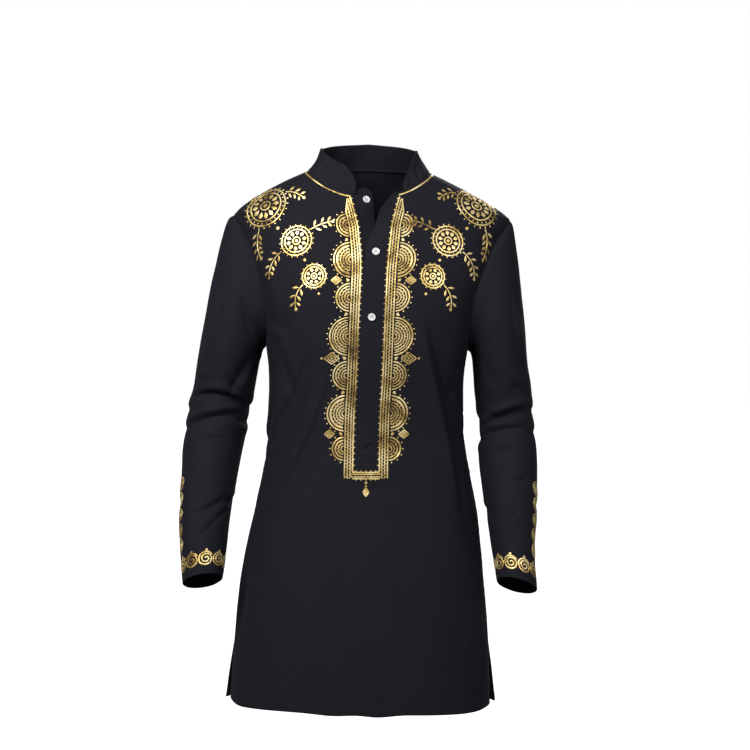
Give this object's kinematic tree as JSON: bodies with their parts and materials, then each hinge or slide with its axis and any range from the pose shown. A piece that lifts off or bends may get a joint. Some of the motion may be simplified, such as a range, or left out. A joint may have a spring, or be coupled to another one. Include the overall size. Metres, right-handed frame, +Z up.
{
  "type": "pullover shirt",
  "caption": "Loose dark pullover shirt holding its worn form, with a band collar, a buttoned chest placket, set-in sleeves, side slits and a gold printed trim.",
  "frame": {"origin": "the middle of the neck opening at the level of the side of the neck, where the shirt is carried on the shoulders", "axes": "+Z up along the shirt's length; +Y from front to back; +X towards the wearer's left"},
  "size_m": [0.6029, 0.2916, 0.9542],
  "materials": {
    "black_cloth": "matte woven cloth with a gold print",
    "white_button": "glossy, slightly pearled"
  },
  "bodies": {
    "root": {"front": "black_cloth", "back": "black_cloth", "sleeve_right": "black_cloth", "sleeve_left": "black_cloth", "collar": "black_cloth", "placket_under": "black_cloth", "placket_over": "black_cloth", "button_1": "white_button", "button_2": "white_button", "button_3": "white_button"}
  },
  "joints": []
}
